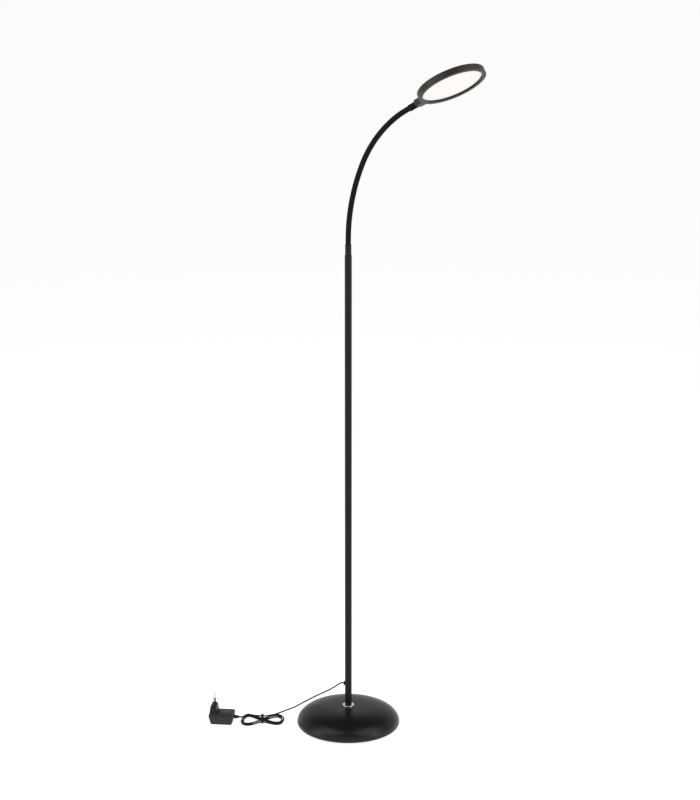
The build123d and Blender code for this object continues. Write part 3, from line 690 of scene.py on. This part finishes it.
def make_neck():
    """Sleeve in lengths that meet in balls at the joints that bend, each running over a joint that sways;
    the foot length rides its joint's parent body, the others no body

    Blending a length over a bending joint can throw it far out: their axes lie exactly along Y."""
    line, marks = neck_line()
    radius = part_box("neck_root")[1].y
    joints = frame["joints"]
    foot = sleeve("neck_sleeve_foot", line, 0, marks[1], radius, ball=True)
    dress(foot, "neck_sleeve", joints[0]["parent"], "neck_root")
    for k in range(1, len(joints), 2):
        first, last = marks[k], min(marks[k + 2], len(line) - 1)
        has_ball = k + 1 < len(joints)
        piece = sleeve(f"neck_sleeve_{k:02d}", line, first, last, radius, ball_gap, has_ball)
        dress(piece, "neck_sleeve", None, f"neck_link_{k:02d}", f"neck_link_{k + 1:02d}")
        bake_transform(piece)


def make_end_ferrule():
    """Upper ferrule, closed over the wide part of its solid"""
    place = ferrule_frame(head)
    _, radius, low, _ = span("neck_upper_ferrule", place)
    points = node_points("neck_upper_ferrule", place)
    wide = np.hypot(points[:, 0], points[:, 1]) > ferrule_wide * radius
    high = points[wide][:, 2].max() + ferrule_round
    body = [(0, low, 0), (radius, low, ferrule_round), (radius, high, ferrule_round), (0, high, 0)]
    dress(turned("neck_end_ferrule", rounded(body), place), "neck_sleeve", "head", "neck_upper_ferrule")


# Head

def make_head():
    """Housing with its lug and touch dimple, bezel and lit diffuser"""
    _, _, low, high = span("head_housing", head)
    bezel_in, bezel_out, bezel_low, bezel_top = span("head_bezel", head)
    _, sheet_radius, sheet_low, sheet_top = span("diffuser", head)
    inner = bezel_out + bezel_gap
    radius, ceiling = disc_radius(), high - head_top_wall
    shell = [(0, high, 0), (radius, high, head_edge), (radius, low, head_foot_round), (inner, low, 0),
             (inner, ceiling, 0), (0, ceiling, 0)]
    housing = turned("head_shell", rounded(shell), head, ROUND_SIDES)
    middle = (low + high) / 2
    half = (high - low - lug_drop) / 2
    housing = cut(housing, lug("head_lug", inner + lug_root, middle - half, middle + half), "UNION")
    housing = cut(housing, touch_bowl(high), "DIFFERENCE")
    dress(housing, "head_grey", "head", "head_housing")
    seat = bezel_out - bezel_wall
    lip = [(bezel_in, bezel_low, bezel_lip_round), (bezel_out, bezel_low, bezel_edge_round),
           (bezel_out, bezel_top, 0), (seat, bezel_top, 0), (seat, sheet_low, 0), (bezel_in, sheet_low, 0)]
    dress(turned("head_rim", rounded(lip), head, ROUND_SIDES), "head_grey", "head", "head_bezel")
    sheet = [(0, sheet_low, 0), (sheet_radius, sheet_low, diffuser_round),
             (sheet_radius, sheet_top, diffuser_round), (0, sheet_top, 0)]
    dress(turned("diffuser_sheet", rounded(sheet), head, ROUND_SIDES), "opal", "head", "diffuser")


def disc_radius():
    """Radius of the head's round part, away from the lug"""
    points = node_points("head_housing", head)
    far = points[points[:, 0] > 0]
    return np.hypot(far[:, 0], far[:, 1]).max()


def touch_bowl(top):
    """Tool that cuts the touch dimple, a shallow bowl in the head's top"""
    dish = (touch_radius**2 + touch_depth**2) / (2 * touch_depth)
    bottom, reach = top - touch_depth, touch_spread * touch_radius
    bowl = [(0, bottom)]
    for step in range(1, BOWL_STEPS + 1):
        r = reach * step / BOWL_STEPS
        bowl.append((r, bottom + dish - sqrt(dish**2 - r**2)))
    bowl += [(reach, top + touch_tool_rise), (0, top + touch_tool_rise)]
    return turned("touch_bowl", bowl, head @ Matrix.Translation((-touch_offset, 0, 0)))


def lug_plan(inner, inset):
    """Outline of the lug, drawn in evenly: a flat end with rounded corners, open into the head"""
    corner = max(lug_corner - inset, lug_least_corner * lug_corner)
    half = lug_width / 2 - inset
    end = -lug_face + inset
    points = [Vector((-inner, -half, 0)), Vector((-inner, half, 0))]
    for side, first in ((1, pi / 2), (-1, pi)):
        for step in range(CORNER_STEPS + 1):
            angle = first + pi / 2 * step / CORNER_STEPS
            points.append(Vector((end + corner + corner * cos(angle),
                                  side * (half - corner) + corner * sin(angle), 0)))
    return points


def lug(name, inner, low, high):
    """Block of the lug's outline with rounded rims, in the head's frame"""
    rings = []
    for level, inward in ((low, 1), (high, -1)):
        rims = []
        for step in range(CORNER_STEPS + 1):
            angle = pi / 2 * step / CORNER_STEPS
            lift = Vector((0, 0, level + inward * lug_edge * (1 - cos(angle))))
            rims.append([p + lift for p in lug_plan(inner, lug_edge * (1 - sin(angle)))])
        rings += rims if inward > 0 else rims[::-1]
    return skinned(name, rings, head)


# Supply cord

def hank_loop(angle):
    """Innermost loop of the hank in plan: two lobes with a waist between them"""
    lobe = hank_near_lobe if cos(angle) > 0 else hank_far_lobe
    swell = (lobe - hank_waist) / lobe_peak
    along = hank_half_length * cos(angle) * (1 - lobe_roundness * sin(angle) ** 2)
    return Vector((along, sin(angle) * (hank_waist + swell * cos(angle) ** 2), 0))


def hank_point(turns):
    """Centreline of the hank so many turns from its start, in the hank's own frame"""
    inward = (hank_turns - climb_turns) / 2
    angle = hank_entry + 2 * pi * turns
    here = hank_loop(angle)
    along = (hank_loop(angle + slope_step) - hank_loop(angle - slope_step)).normalized()
    outward = loop_pitch * max(inward - turns, turns - inward - climb_turns, 0)
    layer = min(max((turns - inward) / climb_turns, 0), 1)
    layer += max((turns - hank_turns) / exit_climb_turns + exit_climb_share, 0)
    x, y = here.x + outward * along.y, here.y - outward * along.x
    level = cord_diameter / 2 + tie_lift * sin(angle) ** 2 + layer_pitch * layer
    return Vector((x, y, level + tan(hank_lean) * max(y, 0)))


def hank_points():
    """Hank's route, from where the cord comes in over it to where it leaves"""
    count = round(hank_turns * points_per_turn)
    loops = [hank_point(i / points_per_turn) for i in range(count + 1)]
    leave = loops[-1] + (loops[-1] - loops[-2]).normalized() * cord_diameter
    entry = [Vector(p) for p in entry_route]
    return [hank_frame @ p for p in entry + loops[2:-1] + [leave]]


def relief_face():
    """Middle of the strain relief's outer end, in the adapter's frame"""
    end = node_points("adapter_strain_relief", adapter_frame)[:, 0].max()
    return Vector((end, 0, relief_height))


def cord_points():
    """The whole route: down from the outlet, through the hank and into the strain relief"""
    loops = hank_points()
    away = loops[-1] + (loops[-1] - loops[-2]).normalized() * approach_run
    tail = [hank_frame @ Vector(p) for p in tail_route]
    face = relief_face()
    ends = [adapter_frame @ (face + Vector((x, 0, 0))) for x in (tail_end_run, 0, -cord_in_relief)]
    return [Vector(p) for p in free_route] + loops + [away] + tail + ends


def make_cord():
    """Cord as one smooth spline through its whole route, in place of the cord's solids"""
    curve = bpy.data.curves.new("supply_cord", "CURVE")
    curve.dimensions = "3D"
    curve.bevel_depth = cord_diameter / 2
    curve.bevel_resolution = CORD_BEVEL
    curve.use_fill_caps = True
    route = cord_points()
    spline = curve.splines.new("NURBS")
    spline.points.add(len(route) - 1)
    for point, place in zip(spline.points, route):
        point.co = (*place, 1)
    spline.order_u = 3
    spline.use_endpoint_u = True
    spline.resolution_u = CORD_STEPS
    piece = bpy.data.objects.new("supply_cord", curve)
    bpy.context.scene.collection.objects.link(piece)
    dress(piece, "cord_black", "stand", "cord_free", "cord_hank", "cord_tail")


# Plug-in supply

def make_adapter():
    """Case in two halves, plug body and bare plate; returns the pieces that are on the cord"""
    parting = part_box("adapter_lower_case")[1].z
    plug_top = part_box("adapter_upper_case")[1].z
    lid_top = parting + lid_height
    lower = rounded_block("adapter_tub", bottom_size, parting_size, 0.0, parting - parting_groove / 2,
                          adapter_round, (adapter_edge, parting_groove), adapter_frame)
    dress(lower, "adapter_black", "stand", "adapter_lower_case")
    upper = rounded_block("adapter_lid", parting_size, top_size, parting + parting_groove / 2, lid_top,
                          adapter_round, (parting_groove, adapter_edge), adapter_frame)
    dress(upper, "adapter_black", "stand", "adapter_upper_case")
    offset = -(top_size[0] - plug_base_size[0]) / 2
    plug_frame = adapter_frame @ Matrix.Translation((offset, 0, 0))
    plug = rounded_block("plug_body", plug_base_size, plug_top_size, lid_top - plug_sunk, plug_top,
                         plug_round, (plug_foot_edge, plug_edge), plug_frame)
    dress(plug, "plug_black", "stand")
    plate_frame = adapter_frame @ Matrix.Translation((plate_offset, 0, 0))
    plate = rounded_block("adapter_plate", plate_size, plate_size, lid_top - plate_height,
                          lid_top + plate_height, plate_round, plate_edges, plate_frame)
    dress(plate, "plate_black", "stand")
    return [lower, upper, plug, plate, make_relief()]


def make_relief():
    """Moulded grip with a collar and two bulges, turned about the cord"""
    start = adapter_frame @ Vector((0, 0, relief_height))
    place = axis_frame(start, adapter_frame.col[0].to_3d(), Vector((0, 0, 1)))
    _, _, back, end = span("adapter_strain_relief", place)
    wall = end - relief_length
    radius, thickness, gap = relief_collar
    collar = wall + gap + thickness
    half_way = (collar + end) / 2
    outline = rounded([(0, back, 0), (relief_neck, back, 0), (relief_neck, wall + gap, 0),
                       (radius, wall + gap, relief_collar_round), (radius, collar, relief_collar_round),
                       (relief_neck, collar, 0)])
    bumps = [(collar, half_way, relief_neck, relief_waist, relief_bulges[0]),
             (half_way, end, relief_waist, relief_tip, relief_bulges[1])]
    for low, high, first, last, most in bumps:
        swell = most - (first + last) / 2
        for step in range(1, BULGE_STEPS + 1):
            share = step / BULGE_STEPS
            r = first + (last - first) * share + swell * sin(pi * share)
            outline.append((r, low + (high - low) * share))
    outline.append((0, end))
    return dress(turned("cord_grip", outline, place), "rubber_black", "stand", "adapter_strain_relief")


# Solids that keep their own shape

def dress_solids():
    """Gives every solid that shows the finish of its record slot"""
    slots = {entry["node"]: entry["material_slot"] for entry in frame["record"]["subparts"]}
    for name, node in frame["nodes"].items():
        node.data.materials.clear()
        node.data.materials.append(materials[slots[name]])
        smooth(node)


# Stage

def make_stage():
    """Pale floor that keeps its shadows, and looks white to the eye"""
    wide = (floor_width, floor_width)
    levels = (floor_bottom, floor_top)
    floor = skinned("floor", [rectangle_ring(wide, floor_corner, level) for level in levels])
    material, nodes, links = new_material("pale_floor")
    shader = nodes["Principled BSDF"]
    shader.inputs["Base Color"].default_value = (floor_colour, floor_colour, floor_colour, 1)
    shader.inputs["Roughness"].default_value = floor_roughness
    shader.inputs["Specular IOR Level"].default_value = 0.0
    shader.inputs["Emission Color"].default_value = (1, 1, 1, 1)
    seen = seen_by_eye(nodes, links)
    share = nodes.new("ShaderNodeMath")
    share.operation = "MULTIPLY"
    share.inputs[1].default_value = floor_glow
    links.new(seen, share.inputs[0])
    links.new(share.outputs["Value"], shader.inputs["Emission Strength"])
    floor.data.materials.append(material)


def seen_by_eye(nodes, links):
    """1 for rays from the camera, in a mirror or through glass, and 0 for light that falls on things"""
    path = nodes.new("ShaderNodeLightPath")
    value = path.outputs["Is Camera Ray"]
    for other in ("Is Glossy Ray", "Is Transmission Ray"):
        most = nodes.new("ShaderNodeMath")
        most.operation = "MAXIMUM"
        links.new(value, most.inputs[0])
        links.new(path.outputs[other], most.inputs[1])
        value = most.outputs["Value"]
    return value


def make_world():
    """Even light on things, and to the eye white walls that darken towards the ceiling"""
    world = bpy.data.worlds.new("studio")
    bpy.context.scene.world = world
    world.use_nodes = True
    nodes, links = world.node_tree.nodes, world.node_tree.links
    background = nodes["Background"]
    background.inputs["Strength"].default_value = 1.0
    coordinates = nodes.new("ShaderNodeTexCoord")
    direction = nodes.new("ShaderNodeSeparateXYZ")
    walls = nodes.new("ShaderNodeValToRGB")
    links.new(coordinates.outputs["Generated"], direction.inputs["Vector"])
    links.new(direction.outputs["Z"], walls.inputs["Fac"])
    stops = walls.color_ramp.elements
    while len(stops) < len(studio_walls):
        stops.new(1.0)  # until it gets its place below
    for stop, (height, colour) in zip(stops, studio_walls):
        stop.position = height
        stop.color = (*colour, 1)
    room = nodes.new("ShaderNodeMix")
    room.data_type = "RGBA"
    room.inputs["A"].default_value = (room_light, room_light, room_light, 1)
    links.new(walls.outputs["Color"], room.inputs["B"])
    links.new(seen_by_eye(nodes, links), room.inputs["Factor"])
    links.new(room.outputs["Result"], background.inputs["Color"])


def make_lights():
    """Large soft lamps at both sides and above"""
    for name, (place, target, (width, height, radiance, colour)) in softboxes.items():
        lamp = bpy.data.lights.new(name, "AREA")
        lamp.color = colour
        lamp.shape = "RECTANGLE"
        lamp.size = width
        lamp.size_y = height
        lamp.energy = radiance * pi * width * height
        box = bpy.data.objects.new(name, lamp)
        box.location = place
        box.rotation_euler = (Vector(target) - Vector(place)).to_track_quat("-Z", "Y").to_euler()
        bpy.context.scene.collection.objects.link(box)


def make_camera():
    """Camera at the photo's own place"""
    lens = bpy.data.cameras.new("camera")
    lens.lens = camera_lens
    lens.clip_end = camera_reach
    camera = bpy.data.objects.new("camera", lens)
    camera.location = camera_place
    camera.rotation_euler = camera_turn
    bpy.context.scene.collection.objects.link(camera)
    bpy.context.scene.camera = camera


materials = make_materials()
head = head_frame()
dress_solids()
make_camera()
make_base()
make_pole()
make_neck()
make_end_ferrule()
make_head()
supply = make_adapter()
make_cord()
make_stage()
make_world()
make_lights()
bpy.context.scene.view_settings.view_transform = "Standard"
